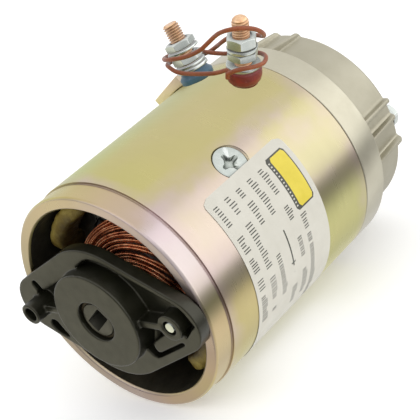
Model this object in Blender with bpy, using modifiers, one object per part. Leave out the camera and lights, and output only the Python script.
"""Direct-current motor for a hydraulic power pack, built from its separate parts.

Frame: metres. The shaft axis is the Y axis. The drive-end face of the steel yoke lies in
the plane y = 0 and the motor runs from there towards +Y. The terminals point up, near +Z.
The two through-bolts lie in the horizontal plane at +X and -X.
Angles round the shaft are in degrees from +Z towards +X.
"""
import math

import bmesh
import bpy
from mathutils import Vector

GAP = 0.0003
OVERCUT = 0.002
TURN = 2.0 * math.pi
FINE = 48
MEDIUM = 24
COARSE = 16

# Yoke: the steel tube that carries the poles.
YOKE_RADIUS = 0.056
YOKE_BORE = 0.04915
YOKE_LENGTH = 0.1201
REGISTER_RADIUS = 0.0553
REGISTER_LENGTH = 0.0105
GROOVE_RADIUS = 0.0549
GROOVE_WIDTH = 0.0012
EDGE_BREAK = 0.0006

# Poles and field coils, four of each.
POLE_ANGLES = (45.0, 135.0, 225.0, 315.0)
POLE_MIDDLE = 0.0585
POLE_LENGTH = 0.066
POLE_BORE_RADIUS = 0.0336
POLE_TIP_THICKNESS = 0.0028
POLE_TIP_ANGLE = 29.0
POLE_BODY_ANGLE = 15.0
COIL_FRONT = 0.0105
COIL_REAR = 0.103
COIL_HALF_ANGLE = 26.0
COIL_WINDOW_ANGLE = 15.8
COIL_INNER_RADIUS = 0.0386
COIL_OUTER_RADIUS = 0.0478
COIL_CORNER = 0.009
COIL_WINDOW_CORNER = 0.002
COIL_MEAN_RADIUS = 0.0435

# Pole screws: M8 countersunk with a cross recess.
POLE_SCREW_RADIUS = 0.004
POLE_SCREW_HEAD_RADIUS = 0.0078
POLE_SCREW_TOP = 0.0553
POLE_SCREW_RIM = 0.0008
POLE_SCREW_END = 0.041
CROSS_LENGTH = 0.0080
CROSS_WIDTH = 0.0016
CROSS_DEPTH = 0.0026

# Armature.
CORE_RADIUS = 0.033
CORE_FRONT = 0.0255
CORE_REAR = 0.0915
SLOT_COUNT = 21
SLOT_WIDTH = 0.0036
SLOT_MOUTH = 0.0016
SLOT_FLOOR = 0.0225
SLOT_LIP = 0.0009
BAR_WIDTH = 0.0030
BAR_INNER = 0.0228
BAR_OUTER = 0.0312
SHAFT_RADIUS = 0.008
SHAFT_JOURNAL_RADIUS = 0.005
SHAFT_REAR_SEAT = 0.006
SHAFT_SEAT_FRONT = 0.147
SHAFT_NECK_RADIUS = 0.007
SHAFT_NECK_FRONT = 0.133
SHAFT_END = 0.1578
COMMUTATOR_RADIUS = 0.0198
COMMUTATOR_RISER = 0.022
COMMUTATOR_FRONT = 0.109
COMMUTATOR_REAR = 0.131
RISER_WIDTH = 0.003
WINDING_BORE = 0.011
WINDING_FRONT_HEAD = ((0.0125, 0.0100), (0.0200, 0.0092), (0.0280, 0.0118), (0.0316, 0.0190),
                      (0.0316, 0.0252), (WINDING_BORE, 0.0252))
WINDING_REAR_HEAD = ((WINDING_BORE, 0.1040), (0.0170, 0.1062), (0.0260, 0.1040), (0.0314, 0.0980),
                     (0.0316, 0.0918), (WINDING_BORE, 0.0918))
BAR_FRONT = 0.020
BAR_REAR = 0.097

# Drive coupling with the slot that takes the pump's tang.
COUPLING_RADIUS = 0.0083
COUPLING_FRONT = -0.012
COUPLING_REAR = 0.006
COUPLING_FLOOR = 0.0015
DRIVE_SLOT_LENGTH = 0.0126
DRIVE_SLOT_WIDTH = 0.0064
DRIVE_SLOT_DEPTH = 0.012
DRIVE_SLOT_ANGLE = 38.0

# Rear ball bearing, 12 x 32 x 10.
BEARING_FRONT = 0.1475
BEARING_REAR = 0.1575
BEARING_OUTER = 0.016
BEARING_OUTER_BORE = 0.013
BEARING_INNER_OUTSIDE = 0.0086
SHIELD_INSET = 0.0006
SHIELD_THICKNESS = 0.001

# Brush gear.
BRUSH_ANGLES = (45.0, 135.0, 225.0, 315.0)
BRUSH_WIDTH = 0.008
BRUSH_DEPTH = 0.016
BRUSH_TIP = 0.0201
BRUSH_BACK = 0.032
BRUSH_FRONT = 0.1125
HOLDER_INNER = 0.0235
HOLDER_END = 0.0396
HOLDER_WALL = 0.0009
HOLDER_CAP = 0.0012
HOLDER_FRONT = 0.1117
HOLDER_REAR = 0.1326
SPRING_RADIUS = 0.0026
SPRING_WIRE = 0.00035
SPRING_TURNS = 3
SPRING_STEPS = 8
PLATE_FRONT = 0.133
PLATE_REAR = 0.135
PLATE_RADIUS = 0.0466
PLATE_BORE = 0.0225

# Rear cover.
COVER_FRONT = 0.1204
COVER_STEP = 0.136
COVER_EDGE = 0.160
COVER_BACK = 0.1645
COVER_WALL = 0.004
COVER_BACK_RADIUS = 0.0447
COVER_SHOULDER = 0.1616
COVER_SHOULDER_RADIUS = 0.0487
COVER_FILLET = 0.002
COVER_CHAMFER = 0.0008
COVER_INSIDE = 0.0469
COVER_INSIDE_REAR = 0.0455
COVER_INSIDE_CORNER = 0.003
COVER_BOLT_SEAT = 0.150
HOUSING_FRONT = 0.146
HOUSING_RADIUS = 0.020
HOUSING_FLOOR = 0.1583
COVER_RADIUS = 0.0561
DRUM_FRONT_RADIUS = 0.0514
DRUM_REAR_RADIUS = 0.0502
SPIGOT_FRONT = 0.114
SPIGOT_RADIUS = 0.04885
SPIGOT_BORE = 0.0458
RIB_THICKNESS = 0.0024
RIB_ROOT = 0.0479
RIB_FOOT_RADIUS = 0.0553
RIBS = ((-3.5, 0.0524), (10.7, 0.0524), (74.9, 0.0542), (84.6, 0.0532), (98.1, 0.0536),
        (-74.9, 0.0542), (-84.6, 0.0532), (-98.1, 0.0536), (172.9, 0.0524), (187.1, 0.0524))

# Through-bolts: M6.
BOLT_CIRCLE = 0.041
BOLT_RADIUS = 0.003
BOLT_END = -0.0086
BOLT_HEAD_FLATS = 0.010
BOLT_HEAD_HEIGHT = 0.004
BOLT_HEAD_TURN = -12.0
BOLT_WASHER_RADIUS = 0.006
BOLT_WASHER_THICKNESS = 0.0012

# Drive-end bracket, moulded plastic.
BRACKET_BACK = -0.0003
BRACKET_FACE = -0.0065
BRACKET_FLOOR = -0.0018
BRACKET_MIDDLE_RADIUS = 0.033
BRACKET_LOBE_RADIUS = 0.0145
HUB_RADIUS = 0.024
HUB_FRONT = -0.0125
HUB_BORE = 0.010
HUB_BORE_STEPS = 28
HUB_REAR = 0.0065
HUB_REAR_RADIUS = 0.014
BOLT_HOLE = 0.0034
LEFT_BOSS_RADIUS = 0.0052
LEFT_BOSS_FRONT = -0.015
RIGHT_BOSS_RADIUS = 0.0062
RIGHT_BOSS_FRONT = -0.009
WEB_WIDTH = 0.0034
WEB_FRONT = -0.0092
BRACKET_STEPS = 56
HUB_FOOT = 0.0234
POCKET_RIM = 0.0032
# Corners of the four pockets, (x, z) in the bracket's plane, between their arcs along rim and hub.
UPPER_RIGHT_START = ((-0.0090, 0.0218), (-0.0026, 0.0256), (0.0008, 0.0277), (0.0045, 0.0288))
UPPER_RIGHT_RIM = (70.0, 5.0)
UPPER_RIGHT_END = ((0.0538, 0.0008), (0.0505, -0.0016), (0.0478, -0.0046), (0.0460, -0.0062),
                   (0.0452, -0.0040), (0.0410, 0.0010), (0.0300, 0.0010))
UPPER_RIGHT_HUB = (2.0, 111.0)
LOWER_RIGHT = ((0.0300, -0.0010), (0.0370, -0.0010), (0.0352, -0.0052), (0.0297, -0.0082),
               (0.0250, -0.0108), (0.0234, -0.0128), (0.0240, -0.0156), (0.0252, -0.0168),
               (0.0268, -0.0165), (0.0415, -0.0093), (0.0432, -0.0093), (0.0430, -0.0104),
               (0.0410, -0.0115), (0.0258, -0.0190), (0.0230, -0.0200), (0.0205, -0.0190))
LOWER_RIGHT_HUB = (-41.0, -2.0)
UPPER_LEFT = ((-0.0300, 0.0010), (-0.0410, 0.0010), (-0.0412, 0.0050), (-0.0404, 0.0076),
              (-0.0418, 0.0108), (-0.0412, 0.0126), (-0.0396, 0.0132), (-0.0382, 0.0122),
              (-0.0362, 0.0086), (-0.0345, 0.0084), (-0.0270, 0.0123), (-0.0195, 0.0160))
UPPER_LEFT_HUB = (141.0, 178.0)
LOWER_LEFT = ((-0.0412, -0.0098), (-0.0400, -0.0086), (-0.0378, -0.0084), (-0.0362, -0.0094),
              (-0.0342, -0.0134), (-0.0316, -0.0176), (-0.0340, -0.0174), (-0.0390, -0.0152),
              (-0.0414, -0.0120))
POCKET_STEP = 8.0
WEB_INNER = 0.020
WEB_OUTER = 0.037
WEB_BACK = -0.0011
BUSH_BORE = 0.0086
BUSH_OUTSIDE = 0.0097
BUSH_FRONT = -0.0106
BUSH_REAR = 0.006

# Terminals: M8 studs.
STUD_PLANE = 0.106
STUD_RADIUS = 0.004
STUD_HEAD_RADIUS = 0.0052
STUD_HEAD_BOTTOM = 0.0437
STUD_HEAD_TOP = 0.0478
STUD_BORE = 0.0043
SLEEVE_RADIUS = 0.0060
SLEEVE_HOLE = 0.0063
SLEEVE_BOTTOM = 0.0481
COLLAR_BOTTOM = 0.0563
NUT_FLATS = 0.013
POSITIVE_ANGLE = 17.9
POSITIVE_TIP = 0.0902
POSITIVE_COLLAR_TOP = 0.0642
POSITIVE_COLLAR_RADIUS = 0.0084
POSITIVE_COLLAR_FOOT = 0.0064
NEGATIVE_ANGLE = -11.2
NEGATIVE_TIP = 0.0855
NEGATIVE_COLLAR_TOP = 0.0616
NEGATIVE_COLLAR_RADIUS = 0.0086
NEGATIVE_COLLAR_FOOT = 0.0082
COLLAR_WAIST = 0.0598
POSITIVE_WASHERS = (("flat_washer_positive", 0.0645, 0.0661, 0.0080),
                    ("spring_washer_positive", 0.0732, 0.0750, 0.0072))
POSITIVE_NUTS = (("lower_nut_positive", 0.0689, 0.0729, -63.0),
                 ("upper_nut_positive", 0.0753, 0.0805, -57.0))
NEGATIVE_WASHERS = (("flat_washer_negative", 0.0619, 0.0634, 0.0080),
                    ("spring_washer_negative", 0.0637, 0.0651, 0.0076),
                    ("upper_washer_negative", 0.0715, 0.0726, 0.0078))
NEGATIVE_NUTS = (("lower_nut_negative", 0.0654, 0.0696, -68.0),
                 ("upper_nut_negative", 0.0729, 0.0768, -70.0))

# Pad beside the terminals.
PAD_ANGLE = -33.0
PAD_LEFT = -0.0128
PAD_RIGHT = 0.0114
PAD_BOTTOM = 0.0564
PAD_TOP = 0.061
PAD_FRONT = 0.104
PAD_REAR = 0.116

# Rating label.
LABEL_FRONT = 0.030
LABEL_REAR = 0.087
LABEL_START = 50.0
LABEL_END = 150.0
LABEL_INNER = 0.0561
LABEL_OUTER = 0.05635
LABEL_CORNER = 0.004

# Wire laid in two turns round both terminals, in millimetres.
WIRE_RADIUS = 0.00105
WIRE_STEPS = 62
CURVE_STEPS = 10
WIRE_ROUTE = (
    (17.4, 95.9, 60.0), (18.1, 96.0, 61.9), (18.5, 96.2, 63.9), (12.4, 96.5, 62.8),
    (7.9, 96.3, 62.4), (-1.2, 96.5, 62.3), (-8.6, 96.5, 62.7), (-13.2, 96.0, 64.0),
    (-17.6, 97.2, 65.6), (-21.4, 100.0, 65.6), (-23.2, 103.6, 64.9), (-23.3, 107.7, 64.2),
    (-21.0, 112.4, 62.8), (-16.9, 115.8, 61.9), (-8.9, 116.6, 63.6), (-2.0, 116.2, 66.7),
    (4.6, 113.4, 69.9), (10.4, 112.6, 72.3), (14.5, 113.8, 72.6), (19.3, 115.6, 72.2),
    (25.1, 115.8, 71.3), (30.4, 113.7, 71.9), (34.4, 109.1, 75.7), (35.1, 104.1, 79.9),
    (32.0, 99.6, 82.6), (26.9, 97.2, 83.2), (21.0, 97.4, 81.9), (16.2, 98.1, 79.8),
    (11.5, 97.5, 77.1), (7.0, 96.7, 74.6), (1.4, 96.5, 72.6), (-5.0, 96.3, 71.1),
    (-12.4, 95.7, 70.5), (-18.5, 97.5, 69.4), (-22.9, 100.8, 68.4), (-24.0, 104.6, 67.8),
    (-23.3, 109.6, 67.2), (-20.1, 113.8, 66.0), (-14.6, 115.6, 64.9), (-7.2, 114.0, 64.6),
    (-1.6, 113.9, 64.0), (4.8, 113.4, 63.9), (10.6, 113.6, 64.2), (14.4, 115.2, 63.3),
    (19.4, 116.0, 62.7), (24.3, 115.2, 62.4), (28.6, 112.4, 62.0), (30.6, 107.8, 61.5),
    (30.4, 102.6, 62.4), (28.1, 98.6, 63.5), (24.4, 95.6, 64.0), (20.4, 93.9, 63.2))


def remove_everything():
    """Empty the scene and make the two collections."""
    for item in list(bpy.data.objects):
        bpy.data.objects.remove(item, do_unlink=True)
    for group in list(bpy.data.collections):
        bpy.data.collections.remove(group)
    made = []
    for name in ("electric_motor", "cutters"):
        group = bpy.data.collections.new(name)
        bpy.context.scene.collection.children.link(group)
        made.append(group)
    return made


PARTS, CUTTERS = remove_everything()


def material(name, colour, metallic, roughness):
    """A Principled material with one plain colour."""
    item = bpy.data.materials.new(name)
    item.use_nodes = True
    shader = item.node_tree.nodes["Principled BSDF"]
    shader.inputs["Base Color"].default_value = (*colour, 1.0)
    shader.inputs["Metallic"].default_value = metallic
    shader.inputs["Roughness"].default_value = roughness
    item.diffuse_color = (*colour, 1.0)
    return item


FINISHES = {
    "zinc_yellow": ((0.62, 0.54, 0.30), 1.0, 0.32),
    "zinc_clear": ((0.66, 0.68, 0.64), 1.0, 0.30),
    "steel": ((0.42, 0.42, 0.42), 1.0, 0.35),
    "black_steel": ((0.08, 0.08, 0.07), 1.0, 0.45),
    "cast_aluminium": ((0.68, 0.66, 0.60), 1.0, 0.45),
    "black_plastic": ((0.035, 0.035, 0.030), 0.0, 0.42),
    "copper": ((0.72, 0.40, 0.24), 1.0, 0.30),
    "enamel_copper": ((0.36, 0.11, 0.05), 0.6, 0.35),
    "taped_coil": ((0.34, 0.27, 0.09), 0.0, 0.60),
    "lamination": ((0.20, 0.20, 0.21), 1.0, 0.50),
    "bronze": ((0.45, 0.30, 0.14), 1.0, 0.40),
    "brass": ((0.62, 0.47, 0.20), 1.0, 0.35),
    "carbon": ((0.05, 0.05, 0.055), 0.0, 0.60),
    "board": ((0.30, 0.17, 0.08), 0.0, 0.55),
    "blue_nylon": ((0.09, 0.18, 0.27), 0.0, 0.45),
    "red_nylon": ((0.27, 0.02, 0.015), 0.0, 0.45),
    "wire_sleeve": ((0.30, 0.09, 0.035), 0.0, 0.40),
    "label_film": ((0.78, 0.77, 0.73), 0.0, 0.50),
}


def place(item, name, finish, group=None):
    """Name the object, give it its own material and put it in its collection."""
    item.name = name
    item.data.name = name
    for old in list(item.users_collection):
        old.objects.unlink(item)
    if group is CUTTERS:
        CUTTERS.objects.link(item)
        item.hide_render = True
        item.display_type = "WIRE"
        return item
    PARTS.objects.link(item)
    item.data.materials.clear()
    item.data.materials.append(material(name + "_" + finish, *FINISHES[finish]))
    return item


def finish_mesh(builder, name, finish, group=None):
    """Turn a bmesh into a named object."""
    bmesh.ops.recalc_face_normals(builder, faces=builder.faces)
    mesh = bpy.data.meshes.new(name)
    builder.to_mesh(mesh)
    builder.free()
    return place(bpy.data.objects.new(name, mesh), name, finish, group)


def aim(item, angle=None, along=0.0):
    """Turn a piece so its local Z is the shaft axis, or points outward at the angle."""
    if angle is None:
        item.rotation_euler = (-math.pi / 2.0, 0.0, 0.0)
    else:
        item.rotation_euler = (0.0, math.radians(angle), 0.0)
    item.location = (0.0, along, 0.0)
    return item


def turned(name, profile, finish, steps=MEDIUM, closed=True, group=None):
    """Turn a profile of (radius, height) round local Z with a Screw modifier."""
    builder = bmesh.new()
    points = [builder.verts.new((radius, 0.0, height)) for radius, height in profile]
    for first, second in zip(points, points[1:]):
        builder.edges.new((first, second))
    if closed:
        builder.edges.new((points[-1], points[0]))
    mesh = bpy.data.meshes.new(name)
    builder.to_mesh(mesh)
    builder.free()
    item = place(bpy.data.objects.new(name, mesh), name, finish, group)
    screw = item.modifiers.new("turn", "SCREW")
    screw.axis = "Z"
    screw.angle = TURN
    screw.steps = steps
    screw.render_steps = steps
    screw.use_merge_vertices = True
    screw.merge_threshold = 0.00001
    return item


def ring_profile(inner, outer, bottom, top):
    """The rectangle that makes a plain ring."""
    return ((inner, top), (outer, top), (outer, bottom), (inner, bottom))


def prism(name, outline, front, rear, finish, group=None):
    """Extrude an outline of (x, z) points along Y."""
    builder = bmesh.new()
    face = builder.faces.new([builder.verts.new((x, front, z)) for x, z in outline])
    grown = bmesh.ops.extrude_face_region(builder, geom=[face])
    moved = [part for part in grown["geom"] if isinstance(part, bmesh.types.BMVert)]
    bmesh.ops.translate(builder, verts=moved, vec=Vector((0.0, rear - front, 0.0)))
    return finish_mesh(builder, name, finish, group)


def plate(name, outline, bottom, top, finish, group=None):
    """Extrude an outline of (x, y) points along local Z."""
    builder = bmesh.new()
    face = builder.faces.new([builder.verts.new((x, y, bottom)) for x, y in outline])
    grown = bmesh.ops.extrude_face_region(builder, geom=[face])
    moved = [part for part in grown["geom"] if isinstance(part, bmesh.types.BMVert)]
    bmesh.ops.translate(builder, verts=moved, vec=Vector((0.0, 0.0, top - bottom)))
    return finish_mesh(builder, name, finish, group)


def block(name, low, high, finish, group=None):
    """An upright box between two corners."""
    outline = ((low[0], low[2]), (high[0], low[2]), (high[0], high[2]), (low[0], high[2]))
    return prism(name, outline, low[1], high[1], finish, group)


def circle(radius, steps, middle=(0.0, 0.0), start=0.0):
    """Points on a circle."""
    return [(middle[0] + radius * math.cos(start + TURN * k / steps),
             middle[1] + radius * math.sin(start + TURN * k / steps)) for k in range(steps)]


def polar(radius, angle):
    """The (x, z) point at a radius and an angle from +Z towards +X."""
    return (radius * math.sin(math.radians(angle)), radius * math.cos(math.radians(angle)))


def arc(radius, start, end, steps):
    """Points on an arc from one angle to another, both ends included."""
    return [polar(radius, start + (end - start) * k / steps) for k in range(steps + 1)]


def combine(item, tool, operation):
    """Add a Boolean modifier."""
    step = item.modifiers.new(operation.lower(), "BOOLEAN")
    step.operation = operation
    step.solver = "EXACT"
    step.object = tool
    return item


def cut(item, tool):
    """Take the tool's shape away from the piece."""
    return combine(item, tool, "DIFFERENCE")


def join(item, tool):
    """Add the tool's shape to the piece."""
    return combine(item, tool, "UNION")


def cutter_rod(name, radius, bottom, top, steps=COARSE):
    """A round rod used only for cutting or joining, along local Z."""
    return turned(name, ((0.0, top), (radius, top), (radius, bottom), (0.0, bottom)), None, steps,
                  False, CUTTERS)


def hexagon(flats, turn=0.0):
    """The corners of a hexagon, the first one at the given angle from local X."""
    return circle(flats / math.sqrt(3.0), 6, start=math.radians(turn))


def make_yoke():
    """The steel tube with its register, groove, pole-screw seats and terminal holes."""
    groove_end = REGISTER_LENGTH + GROOVE_WIDTH
    profile = ((YOKE_BORE, YOKE_LENGTH), (YOKE_RADIUS, YOKE_LENGTH), (YOKE_RADIUS, groove_end),
               (GROOVE_RADIUS, groove_end), (GROOVE_RADIUS, REGISTER_LENGTH),
               (REGISTER_RADIUS, REGISTER_LENGTH), (REGISTER_RADIUS, EDGE_BREAK),
               (REGISTER_RADIUS - EDGE_BREAK, 0.0), (YOKE_BORE + EDGE_BREAK, 0.0),
               (YOKE_BORE, EDGE_BREAK))
    yoke = aim(turned("yoke", profile, "zinc_yellow", FINE))
    cone = POLE_SCREW_HEAD_RADIUS + GAP
    lead = POLE_SCREW_TOP - POLE_SCREW_RIM - GAP
    shank = POLE_SCREW_RADIUS + GAP
    for number, angle in enumerate(POLE_ANGLES, 1):
        seat = turned(f"cut_screw_seat_{number}",
                      ((0.0, YOKE_RADIUS + OVERCUT), (cone, YOKE_RADIUS + OVERCUT), (cone, lead),
                       (shank, lead - (cone - shank)), (shank, YOKE_BORE - OVERCUT),
                       (0.0, YOKE_BORE - OVERCUT)), None, COARSE, False, CUTTERS)
        cut(yoke, aim(seat, angle, POLE_MIDDLE))
    for name, angle in (("positive", POSITIVE_ANGLE), ("negative", NEGATIVE_ANGLE)):
        rod = cutter_rod(f"cut_{name}_hole", SLEEVE_HOLE, YOKE_BORE - OVERCUT, YOKE_RADIUS + OVERCUT)
        cut(yoke, aim(rod, angle, STUD_PLANE))
    return yoke


def make_pole(number, angle):
    """One pole: a body against the yoke and a wide shoe round the armature."""
    front = POLE_MIDDLE - POLE_LENGTH / 2.0
    rear = POLE_MIDDLE + POLE_LENGTH / 2.0
    shoulder = COIL_INNER_RADIUS - GAP
    outline = arc(YOKE_BORE - GAP, angle - POLE_BODY_ANGLE, angle + POLE_BODY_ANGLE, 4)
    outline += [polar(shoulder, angle + POLE_BODY_ANGLE)]
    outline += [polar(POLE_BORE_RADIUS + POLE_TIP_THICKNESS, angle + POLE_TIP_ANGLE)]
    outline += arc(POLE_BORE_RADIUS, angle + POLE_TIP_ANGLE, angle - POLE_TIP_ANGLE, 8)
    outline += [polar(POLE_BORE_RADIUS + POLE_TIP_THICKNESS, angle - POLE_TIP_ANGLE)]
    outline += [polar(shoulder, angle - POLE_BODY_ANGLE)]
    pole = prism(f"pole_shoe_{number}", outline, front, rear, "steel")
    rod = cutter_rod(f"cut_pole_thread_{number}", POLE_SCREW_RADIUS + GAP, POLE_SCREW_END - GAP,
                     YOKE_BORE + OVERCUT, 12)
    return cut(pole, aim(rod, angle, POLE_MIDDLE))


def rounded_window(half_width, front, rear, corner, corner_steps=4):
    """Points round a rectangle with round corners, as (across, along)."""
    points = []
    for side, end, start in ((1, rear, 0.0), (-1, rear, 90.0), (-1, front, 180.0), (1, front, 270.0)):
        middle = (side * (half_width - corner), end - corner if end == rear else end + corner)
        for k in range(corner_steps + 1):
            turn = math.radians(start + 90.0 * k / corner_steps)
            points.append((middle[0] + corner * math.cos(turn), middle[1] + corner * math.sin(turn)))
    return points


def make_coil(number, angle):
    """One field coil: a racetrack bent to the curve of the yoke."""
    outer = rounded_window(math.radians(COIL_HALF_ANGLE) * COIL_MEAN_RADIUS, COIL_FRONT, COIL_REAR,
                           COIL_CORNER)
    inner = rounded_window(math.radians(COIL_WINDOW_ANGLE) * COIL_MEAN_RADIUS,
                           POLE_MIDDLE - POLE_LENGTH / 2.0 - 2.0 * GAP,
                           POLE_MIDDLE + POLE_LENGTH / 2.0 + 2.0 * GAP, COIL_WINDOW_CORNER)
    builder = bmesh.new()
    loops = []
    for outline, radius in ((outer, COIL_OUTER_RADIUS), (outer, COIL_INNER_RADIUS),
                            (inner, COIL_INNER_RADIUS), (inner, COIL_OUTER_RADIUS)):
        loop = []
        for across, along in outline:
            x, z = polar(radius, angle + math.degrees(across / COIL_MEAN_RADIUS))
            loop.append(builder.verts.new((x, along, z)))
        loops.append(loop)
    count = len(outer)
    for first, second in zip(loops, loops[1:] + loops[:1]):
        for k in range(count):
            after = (k + 1) % count
            builder.faces.new((first[k], first[after], second[after], second[k]))
    return finish_mesh(builder, f"field_coil_{number}", "taped_coil")


def make_pole_screw(number, angle):
    """An M8 countersunk screw with a cross recess, driven in from outside."""
    lead = POLE_SCREW_TOP - POLE_SCREW_RIM
    profile = ((0.0, POLE_SCREW_TOP), (POLE_SCREW_HEAD_RADIUS, POLE_SCREW_TOP),
               (POLE_SCREW_HEAD_RADIUS, lead),
               (POLE_SCREW_RADIUS, lead - (POLE_SCREW_HEAD_RADIUS - POLE_SCREW_RADIUS)),
               (POLE_SCREW_RADIUS, POLE_SCREW_END), (0.0, POLE_SCREW_END))
    screw = aim(turned(f"pole_screw_{number}", profile, "zinc_clear", COARSE, False), angle, POLE_MIDDLE)
    half = CROSS_LENGTH / 2.0
    thin = CROSS_WIDTH / 2.0
    cross = ((half, thin), (thin, thin), (thin, half), (-thin, half), (-thin, thin), (-half, thin),
             (-half, -thin), (-thin, -thin), (-thin, -half), (thin, -half), (thin, -thin), (half, -thin))
    tool = plate(f"cut_cross_{number}", cross, POLE_SCREW_TOP - CROSS_DEPTH, POLE_SCREW_TOP + OVERCUT,
                 None, CUTTERS)
    return cut(screw, aim(tool, angle, POLE_MIDDLE))


def make_core():
    """The laminated armature core with its slots."""
    outline = []
    mouth_floor = CORE_RADIUS - SLOT_LIP
    for k in range(SLOT_COUNT):
        middle = 360.0 * k / SLOT_COUNT
        for half, radius in ((SLOT_MOUTH, CORE_RADIUS), (SLOT_MOUTH, mouth_floor),
                             (SLOT_WIDTH, mouth_floor), (SLOT_WIDTH, SLOT_FLOOR)):
            outline.append(polar(radius, middle - math.degrees(half / 2.0 / radius)))
        for half, radius in ((SLOT_WIDTH, SLOT_FLOOR), (SLOT_WIDTH, mouth_floor),
                             (SLOT_MOUTH, mouth_floor), (SLOT_MOUTH, CORE_RADIUS)):
            outline.append(polar(radius, middle + math.degrees(half / 2.0 / radius)))
    core = prism("armature_core", outline, CORE_FRONT, CORE_REAR, "lamination")
    return cut(core, aim(cutter_rod("cut_core_bore", SHAFT_RADIUS + GAP, CORE_FRONT - OVERCUT,
                                    CORE_REAR + OVERCUT, MEDIUM)))


def make_winding():
    """The armature winding: slot bars joined to a coil head at each end."""
    steps = 2 * SLOT_COUNT
    winding = aim(turned("armature_winding", WINDING_FRONT_HEAD, "enamel_copper", steps))
    head = aim(turned("join_rear_head", WINDING_REAR_HEAD, None, steps, True, CUTTERS))
    builder = bmesh.new()
    for k in range(SLOT_COUNT):
        turn = TURN * k / SLOT_COUNT
        corners = []
        for along in (BAR_FRONT, BAR_REAR):
            for across, radius in ((-BAR_WIDTH / 2.0, BAR_INNER), (BAR_WIDTH / 2.0, BAR_INNER),
                                   (BAR_WIDTH / 2.0, BAR_OUTER), (-BAR_WIDTH / 2.0, BAR_OUTER)):
                x = radius * math.sin(turn) + across * math.cos(turn)
                z = radius * math.cos(turn) - across * math.sin(turn)
                corners.append(builder.verts.new((x, along, z)))
        for face in ((0, 1, 2, 3), (4, 5, 6, 7), (0, 1, 5, 4), (1, 2, 6, 5), (2, 3, 7, 6), (3, 0, 4, 7)):
            builder.faces.new([corners[index] for index in face])
    bars = finish_mesh(builder, "join_bars", None, CUTTERS)
    join(winding, bars)
    return join(winding, head)


def make_shaft_line():
    """The shaft, its drive coupling, the commutator and the bearing's inner ring."""
    nose = COUPLING_FLOOR + GAP
    shoulder = COUPLING_REAR + GAP
    shaft_profile = ((0.0, SHAFT_END), (SHAFT_REAR_SEAT, SHAFT_END), (SHAFT_REAR_SEAT, SHAFT_SEAT_FRONT),
                     (SHAFT_NECK_RADIUS, SHAFT_SEAT_FRONT), (SHAFT_NECK_RADIUS, SHAFT_NECK_FRONT),
                     (SHAFT_RADIUS, SHAFT_NECK_FRONT), (SHAFT_RADIUS, shoulder),
                     (SHAFT_JOURNAL_RADIUS, shoulder), (SHAFT_JOURNAL_RADIUS, nose), (0.0, nose))
    aim(turned("armature_shaft", shaft_profile, "steel", MEDIUM, False))
    bore = SHAFT_JOURNAL_RADIUS + GAP
    coupling_profile = ((0.0, COUPLING_FLOOR), (bore, COUPLING_FLOOR), (bore, COUPLING_REAR),
                        (COUPLING_RADIUS, COUPLING_REAR), (COUPLING_RADIUS, COUPLING_FRONT),
                        (0.0, COUPLING_FRONT))
    coupling = aim(turned("drive_coupling", coupling_profile, "black_steel", MEDIUM, False))
    half = DRIVE_SLOT_LENGTH / 2.0
    thin = DRIVE_SLOT_WIDTH / 2.0
    turn = math.radians(DRIVE_SLOT_ANGLE)
    outline = [(x * math.cos(turn) - z * math.sin(turn), x * math.sin(turn) + z * math.cos(turn))
               for x, z in ((half, thin), (-half, thin), (-half, -thin), (half, -thin))]
    cut(coupling, prism("cut_drive_slot", outline, COUPLING_FRONT - OVERCUT,
                        COUPLING_FRONT + DRIVE_SLOT_DEPTH, None, CUTTERS))
    bore = SHAFT_RADIUS + GAP
    riser_end = COMMUTATOR_FRONT + RISER_WIDTH
    commutator_profile = ((bore, COMMUTATOR_REAR), (COMMUTATOR_RADIUS, COMMUTATOR_REAR),
                          (COMMUTATOR_RADIUS, riser_end), (COMMUTATOR_RISER, riser_end),
                          (COMMUTATOR_RISER, COMMUTATOR_FRONT), (bore, COMMUTATOR_FRONT))
    aim(turned("commutator", commutator_profile, "copper", 2 * SLOT_COUNT))
    aim(turned("bearing_inner_ring", ring_profile(SHAFT_REAR_SEAT + GAP, BEARING_INNER_OUTSIDE,
                                                  BEARING_FRONT, BEARING_REAR), "steel"))


def make_bearing_and_bush():
    """The fixed bearing ring, its shield and the plain bush at the drive end."""
    aim(turned("bearing_outer_ring", ring_profile(BEARING_OUTER_BORE, BEARING_OUTER, BEARING_FRONT,
                                                  BEARING_REAR), "steel"))
    aim(turned("bearing_shield", ring_profile(BEARING_INNER_OUTSIDE + GAP, BEARING_OUTER_BORE - GAP,
                                              BEARING_FRONT + SHIELD_INSET,
                                              BEARING_FRONT + SHIELD_INSET + SHIELD_THICKNESS),
               "zinc_clear"))
    aim(turned("drive_bush", ring_profile(BUSH_BORE, BUSH_OUTSIDE, BUSH_FRONT, BUSH_REAR), "bronze"))


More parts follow.
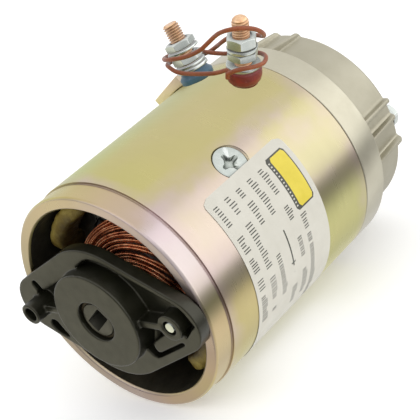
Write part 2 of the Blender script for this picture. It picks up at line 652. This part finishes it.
def make_brush_gear():
    """The brush plate, and for each pole a holder, a carbon brush and its spring."""
    board = aim(turned("brush_plate", ring_profile(PLATE_BORE, PLATE_RADIUS, PLATE_FRONT, PLATE_REAR),
                       "board", 40))
    for side in (-1, 1):
        rod = cutter_rod(f"cut_plate_bolt_{side + 2}", BOLT_RADIUS + 2.0 * GAP, PLATE_FRONT - OVERCUT,
                         PLATE_REAR + OVERCUT, 12)
        aim(rod)
        rod.location = (side * BOLT_CIRCLE, 0.0, 0.0)
        cut(board, rod)
    slack = GAP
    half = BRUSH_WIDTH / 2.0
    brush_rear = BRUSH_FRONT + BRUSH_DEPTH
    for number, angle in enumerate(BRUSH_ANGLES, 1):
        wide = half + slack + HOLDER_WALL
        holder = plate(f"brush_holder_{number}",
                       ((-wide, HOLDER_FRONT), (wide, HOLDER_FRONT), (wide, HOLDER_REAR),
                        (-wide, HOLDER_REAR)), HOLDER_INNER, HOLDER_END, "brass")
        hollow = plate(f"cut_holder_{number}",
                       ((-half - slack, BRUSH_FRONT - slack), (half + slack, BRUSH_FRONT - slack),
                        (half + slack, brush_rear + slack), (-half - slack, brush_rear + slack)),
                       HOLDER_INNER - OVERCUT, HOLDER_END - HOLDER_CAP, None, CUTTERS)
        cut(aim(holder, angle), aim(hollow, angle))
        brush = plate(f"brush_{number}",
                      ((-half, -BRUSH_DEPTH / 2.0), (half, -BRUSH_DEPTH / 2.0),
                       (half, BRUSH_DEPTH / 2.0), (-half, BRUSH_DEPTH / 2.0)), BRUSH_TIP, BRUSH_BACK,
                      "carbon")
        aim(brush, angle, BRUSH_FRONT + BRUSH_DEPTH / 2.0)
        make_spring(number, angle, BRUSH_FRONT + BRUSH_DEPTH / 2.0)


def make_spring(number, angle, along):
    """A small coil spring between a brush and the end of its holder."""
    low = BRUSH_BACK + GAP + SPRING_WIRE
    high = HOLDER_END - HOLDER_CAP - GAP - SPRING_WIRE
    count = SPRING_TURNS * SPRING_STEPS + 1
    curve = bpy.data.curves.new(f"brush_spring_{number}", "CURVE")
    curve.dimensions = "3D"
    curve.bevel_depth = SPRING_WIRE
    curve.bevel_resolution = 0
    curve.render_resolution_u = 0
    curve.use_fill_caps = True
    line = curve.splines.new("POLY")
    line.points.add(count - 1)
    for k in range(count):
        turn = TURN * k / SPRING_STEPS
        height = low + (high - low) * k / (count - 1)
        line.points[k].co = (SPRING_RADIUS * math.cos(turn), SPRING_RADIUS * math.sin(turn), height, 1.0)
    item = place(bpy.data.objects.new(curve.name, curve), f"brush_spring_{number}", "steel")
    return aim(item, angle, along)


def make_cover():
    """The cast rear cover: ring, ribbed drum, back wall, bearing housing and spigot."""
    inside_back = COVER_BACK - COVER_WALL
    profile = ((0.0, COVER_BACK), (COVER_BACK_RADIUS, COVER_BACK),
               (COVER_SHOULDER_RADIUS, COVER_SHOULDER), (DRUM_REAR_RADIUS, COVER_EDGE),
               (DRUM_FRONT_RADIUS, COVER_STEP + COVER_FILLET),
               (DRUM_FRONT_RADIUS + COVER_FILLET, COVER_STEP), (COVER_RADIUS - COVER_CHAMFER, COVER_STEP),
               (COVER_RADIUS, COVER_STEP - COVER_CHAMFER), (COVER_RADIUS, COVER_FRONT),
               (SPIGOT_RADIUS, COVER_FRONT), (SPIGOT_RADIUS, SPIGOT_FRONT), (SPIGOT_BORE, SPIGOT_FRONT),
               (COVER_INSIDE, COVER_FRONT + COVER_FILLET), (COVER_INSIDE, COVER_STEP),
               (COVER_INSIDE_REAR, inside_back - COVER_INSIDE_CORNER),
               (COVER_INSIDE_REAR - COVER_INSIDE_CORNER, inside_back), (HOUSING_RADIUS, inside_back),
               (HOUSING_RADIUS, HOUSING_FRONT), (BEARING_OUTER + GAP, HOUSING_FRONT),
               (BEARING_OUTER + GAP, HOUSING_FLOOR), (0.0, HOUSING_FLOOR))
    cover = aim(turned("rear_cover", profile, "cast_aluminium", FINE, False))
    builder = bmesh.new()
    half = RIB_THICKNESS / 2.0
    for angle, tip in RIBS:
        turn = math.radians(angle)
        sides = []
        for across in (-half, half):
            side = []
            for radius, along in ((RIB_ROOT, COVER_STEP - OVERCUT), (RIB_FOOT_RADIUS, COVER_STEP - OVERCUT),
                                  (tip, COVER_EDGE - COVER_CHAMFER), (RIB_ROOT, COVER_EDGE - GAP)):
                x = radius * math.sin(turn) + across * math.cos(turn)
                z = radius * math.cos(turn) - across * math.sin(turn)
                side.append(builder.verts.new((x, along, z)))
            sides.append(side)
        builder.faces.new(sides[0])
        builder.faces.new(sides[1])
        for k in range(4):
            after = (k + 1) % 4
            builder.faces.new((sides[0][k], sides[0][after], sides[1][after], sides[1][k]))
    join(cover, finish_mesh(builder, "join_ribs", None, CUTTERS))
    for side in (-1, 1):
        rod = cutter_rod(f"cut_cover_bolt_{side + 2}", BOLT_HOLE, COVER_BOLT_SEAT, COVER_BACK + OVERCUT, 12)
        aim(rod)
        rod.location = (side * BOLT_CIRCLE, 0.0, 0.0)
        cut(cover, rod)
    return cover


def make_bolts():
    """The two long bolts that clamp bracket, yoke and cover, with their washers."""
    seat = COVER_BACK + GAP
    under_head = seat + BOLT_WASHER_THICKNESS + GAP
    for side, name in ((-1, "left"), (1, "right")):
        bolt = aim(turned(f"through_bolt_{name}",
                          ((0.0, under_head + OVERCUT), (BOLT_RADIUS, under_head + OVERCUT),
                           (BOLT_RADIUS, BOLT_END), (0.0, BOLT_END)), "zinc_clear", COARSE, False))
        bolt.location = (side * BOLT_CIRCLE, 0.0, 0.0)
        head = aim(plate(f"join_bolt_head_{name}", hexagon(BOLT_HEAD_FLATS, BOLT_HEAD_TURN), under_head,
                         under_head + BOLT_HEAD_HEIGHT, None, CUTTERS))
        head.location = (side * BOLT_CIRCLE, 0.0, 0.0)
        join(bolt, head)
        washer = aim(turned(f"bolt_washer_{name}",
                            ring_profile(BOLT_RADIUS + GAP, BOLT_WASHER_RADIUS, seat,
                                         seat + BOLT_WASHER_THICKNESS), "zinc_clear", 20))
        washer.location = (side * BOLT_CIRCLE, 0.0, 0.0)


def lozenge_radius(turn):
    """Distance from the axis to the bracket's outline at an angle from the X axis."""
    turn = abs(math.atan2(math.sin(turn), abs(math.cos(turn))))
    lean = math.asin((BRACKET_MIDDLE_RADIUS - BRACKET_LOBE_RADIUS) / BOLT_CIRCLE)
    normal = math.pi / 2.0 - lean
    end = math.atan2(BRACKET_LOBE_RADIUS * math.sin(normal),
                     BOLT_CIRCLE + BRACKET_LOBE_RADIUS * math.cos(normal))
    if turn >= normal:
        return BRACKET_MIDDLE_RADIUS
    if turn >= end:
        return BRACKET_MIDDLE_RADIUS / math.cos(turn - normal)
    across = BOLT_CIRCLE * math.sin(turn)
    return BOLT_CIRCLE * math.cos(turn) + math.sqrt(BRACKET_LOBE_RADIUS ** 2 - across ** 2)


def pocket_arc(start, end, distance):
    """Points of a pocket's outline along an arc, at the distance that a function gives for an angle."""
    steps = max(4, int(abs(end - start) / POCKET_STEP))
    points = []
    for k in range(steps + 1):
        turn = math.radians(start + (end - start) * k / steps)
        points.append((distance(turn) * math.cos(turn), distance(turn) * math.sin(turn)))
    return points


def along_rim(turn):
    """Distance from the axis to the inside of the bracket's rim."""
    return lozenge_radius(turn) - POCKET_RIM


def along_hub(turn):
    """Distance from the axis to just inside the hub's wall."""
    return HUB_FOOT


def pocket_outlines():
    """The outlines of the four pockets, by name."""
    upper_right = (list(UPPER_RIGHT_START) + pocket_arc(*UPPER_RIGHT_RIM, along_rim)
                   + list(UPPER_RIGHT_END) + pocket_arc(*UPPER_RIGHT_HUB, along_hub))
    lower_right = list(LOWER_RIGHT) + pocket_arc(*LOWER_RIGHT_HUB, along_hub)
    upper_left = list(UPPER_LEFT) + pocket_arc(*UPPER_LEFT_HUB, along_hub)
    return (("upper_right", upper_right), ("lower_right", lower_right),
            ("upper_left", upper_left), ("lower_left", list(LOWER_LEFT)))


def make_bracket():
    """The moulded bracket that carries the drive-end bush and takes the bolts."""
    outline = []
    for k in range(BRACKET_STEPS):
        turn = TURN * k / BRACKET_STEPS
        radius = lozenge_radius(turn)
        outline.append((radius * math.cos(turn), radius * math.sin(turn)))
    bracket = prism("drive_end_bracket", outline, BRACKET_FACE, BRACKET_BACK, "black_plastic")
    for name, corners in pocket_outlines():
        cut(bracket, prism("cut_pocket_" + name, corners, BRACKET_FACE - OVERCUT, BRACKET_FLOOR, None,
                           CUTTERS))
    web = WEB_WIDTH / 2.0
    inside = BRACKET_BACK - GAP
    join(bracket, block("join_web_right", (WEB_INNER, WEB_FRONT, -web), (WEB_OUTER, WEB_BACK, web), None,
                        CUTTERS))
    join(bracket, block("join_web_left", (-WEB_OUTER, WEB_FRONT - GAP, -web),
                        (-WEB_INNER, WEB_BACK + GAP / 2.0, web), None, CUTTERS))
    for name, side, radius, front in (("left", -1, LEFT_BOSS_RADIUS, LEFT_BOSS_FRONT),
                                      ("right", 1, RIGHT_BOSS_RADIUS, RIGHT_BOSS_FRONT)):
        boss = aim(cutter_rod(f"join_boss_{name}", radius, front, inside - GAP, 20))
        boss.location = (side * BOLT_CIRCLE, 0.0, 0.0)
        join(bracket, boss)
    join(bracket, aim(cutter_rod("join_hub", HUB_RADIUS, HUB_FRONT, inside, 40)))
    join(bracket, aim(cutter_rod("join_hub_rear", HUB_REAR_RADIUS, WEB_BACK, HUB_REAR, MEDIUM)))
    cut(bracket, aim(cutter_rod("cut_hub_bore", HUB_BORE, HUB_FRONT - OVERCUT, HUB_REAR + OVERCUT,
                                HUB_BORE_STEPS)))
    for name, side in (("left", -1), ("right", 1)):
        hole = aim(cutter_rod(f"cut_bracket_bolt_{name}", BOLT_HOLE, LEFT_BOSS_FRONT - OVERCUT, OVERCUT))
        hole.location = (side * BOLT_CIRCLE, 0.0, 0.0)
        cut(bracket, hole)
    return bracket


def flat_washer(name, angle, bottom, top, radius):
    """A washer on a terminal stud."""
    return aim(turned(name, ring_profile(STUD_BORE, radius, bottom, top), "zinc_clear", 20), angle,
               STUD_PLANE)


def nut(name, angle, bottom, top, turn=0.0):
    """A hexagon nut on a terminal stud."""
    item = aim(plate(name, hexagon(NUT_FLATS, turn), bottom, top, "zinc_clear"), angle, STUD_PLANE)
    rod = cutter_rod("cut_" + name, STUD_BORE, bottom - OVERCUT, top + OVERCUT)
    return cut(item, aim(rod, angle, STUD_PLANE))


def make_terminal(name, angle, collar, finish, tip_profile):
    """A stud with its insulating sleeve and collar."""
    profile = tip_profile + ((STUD_RADIUS, STUD_HEAD_TOP), (STUD_HEAD_RADIUS, STUD_HEAD_TOP),
                             (STUD_HEAD_RADIUS, STUD_HEAD_BOTTOM), (0.0, STUD_HEAD_BOTTOM))
    aim(turned(f"terminal_stud_{name}", profile, "copper", COARSE, False), angle, STUD_PLANE)
    radius, foot, top = collar
    sleeve = ((STUD_BORE, top), (radius, top), (radius, COLLAR_WAIST),
              ((radius + foot) / 2.0 + 0.0004, (COLLAR_WAIST + COLLAR_BOTTOM) / 2.0),
              (foot, COLLAR_BOTTOM), (SLEEVE_RADIUS, COLLAR_BOTTOM),
              (SLEEVE_RADIUS, SLEEVE_BOTTOM), (STUD_BORE, SLEEVE_BOTTOM))
    aim(turned(f"insulating_collar_{name}", sleeve, finish, 20), angle, STUD_PLANE)


def make_terminals():
    """Both terminals with their washers and nuts, stacked from the yoke outwards."""
    dome = ((0.0, POSITIVE_TIP), (0.0020, POSITIVE_TIP - 0.0005), (0.0034, POSITIVE_TIP - 0.0018),
            (STUD_RADIUS, POSITIVE_TIP - 0.0036))
    collar = (POSITIVE_COLLAR_RADIUS, POSITIVE_COLLAR_FOOT, POSITIVE_COLLAR_TOP)
    make_terminal("positive", POSITIVE_ANGLE, collar, "red_nylon", dome)
    flat = ((0.0, NEGATIVE_TIP), (STUD_RADIUS - 0.0008, NEGATIVE_TIP),
            (STUD_RADIUS, NEGATIVE_TIP - 0.0008))
    collar = (NEGATIVE_COLLAR_RADIUS, NEGATIVE_COLLAR_FOOT, NEGATIVE_COLLAR_TOP)
    make_terminal("negative", NEGATIVE_ANGLE, collar, "blue_nylon", flat)
    for angle, washers, nuts in ((POSITIVE_ANGLE, POSITIVE_WASHERS, POSITIVE_NUTS),
                                 (NEGATIVE_ANGLE, NEGATIVE_WASHERS, NEGATIVE_NUTS)):
        for name, bottom, top, radius in washers:
            flat_washer(name, angle, bottom, top, radius)
        for name, bottom, top, turn in nuts:
            nut(name, angle, bottom, top, turn)


def smooth_route(route, count):
    """Resample a route of points with a Catmull-Rom curve, evenly along its length."""
    points = [Vector(point) * 0.001 for point in route]
    padded = [2.0 * points[0] - points[1]] + points + [2.0 * points[-1] - points[-2]]
    fine = []
    for k in range(1, len(padded) - 2):
        before, here, there, after = padded[k - 1:k + 3]
        for part in range(CURVE_STEPS):
            t = part / CURVE_STEPS
            fine.append(0.5 * ((2.0 * here) + (there - before) * t
                               + (2.0 * before - 5.0 * here + 4.0 * there - after) * t * t
                               + (3.0 * here - before - 3.0 * there + after) * t * t * t))
    fine.append(points[-1])
    lengths = [0.0]
    for first, second in zip(fine, fine[1:]):
        lengths.append(lengths[-1] + (second - first).length)
    spaced = []
    index = 0
    for k in range(count):
        wanted = lengths[-1] * k / (count - 1)
        while index < len(lengths) - 2 and lengths[index + 1] < wanted:
            index += 1
        span = lengths[index + 1] - lengths[index]
        spaced.append(fine[index].lerp(fine[index + 1], (wanted - lengths[index]) / span))
    return spaced


def make_wire():
    """The insulated wire laid round the two terminals."""
    curve = bpy.data.curves.new("terminal_wire", "CURVE")
    curve.dimensions = "3D"
    curve.bevel_depth = WIRE_RADIUS
    curve.bevel_resolution = 2
    curve.render_resolution_u = 0
    curve.use_fill_caps = True
    line = curve.splines.new("POLY")
    points = smooth_route(WIRE_ROUTE, WIRE_STEPS)
    line.points.add(len(points) - 1)
    for target, point in zip(line.points, points):
        target.co = (*point, 1.0)
    return place(bpy.data.objects.new("terminal_wire", curve), "terminal_wire", "wire_sleeve")


def make_pad():
    """A flat pad standing on the yoke beside the negative terminal."""
    reach = math.degrees(PAD_RIGHT / PAD_BOTTOM)
    start = math.degrees(PAD_LEFT / PAD_BOTTOM)
    outline = arc(PAD_BOTTOM, PAD_ANGLE + start, PAD_ANGLE + reach, 5)
    turn = math.radians(PAD_ANGLE)
    for across in (PAD_RIGHT, PAD_LEFT):
        outline.append((PAD_TOP * math.sin(turn) + across * math.cos(turn),
                        PAD_TOP * math.cos(turn) - across * math.sin(turn)))
    return prism("relay_pad", outline, PAD_FRONT, PAD_REAR, "zinc_yellow")


def make_label():
    """The rating label wrapped on the yoke, with its corners trimmed."""
    facet = 360.0 / FINE
    angles = [LABEL_START]
    angle = facet * math.ceil(LABEL_START / facet)
    while angle < LABEL_END:
        angles.append(angle)
        angle += facet
    angles.append(LABEL_END)
    builder = bmesh.new()
    rows = []
    for angle in angles:
        short = angle in (LABEL_START, LABEL_END)
        front = LABEL_FRONT + (LABEL_CORNER if short else 0.0)
        rear = LABEL_REAR - (LABEL_CORNER if short else 0.0)
        row = []
        for radius in (LABEL_INNER, LABEL_OUTER):
            x, z = polar(radius, angle)
            row.append(builder.verts.new((x, front, z)))
            row.append(builder.verts.new((x, rear, z)))
        rows.append(row)
    for first, second in zip(rows, rows[1:]):
        for a, b in ((0, 1), (1, 3), (3, 2), (2, 0)):
            builder.faces.new((first[a], first[b], second[b], second[a]))
    for row in (rows[0], rows[-1]):
        builder.faces.new((row[0], row[1], row[3], row[2]))
    return finish_mesh(builder, "rating_label", "label_film")


make_yoke()
for index, pole_angle in enumerate(POLE_ANGLES, 1):
    make_pole(index, pole_angle)
    make_coil(index, pole_angle)
    make_pole_screw(index, pole_angle)
make_core()
make_winding()
make_shaft_line()
make_bearing_and_bush()
make_brush_gear()
make_cover()
make_bolts()
make_bracket()
make_terminals()
make_wire()
make_pad()
make_label()
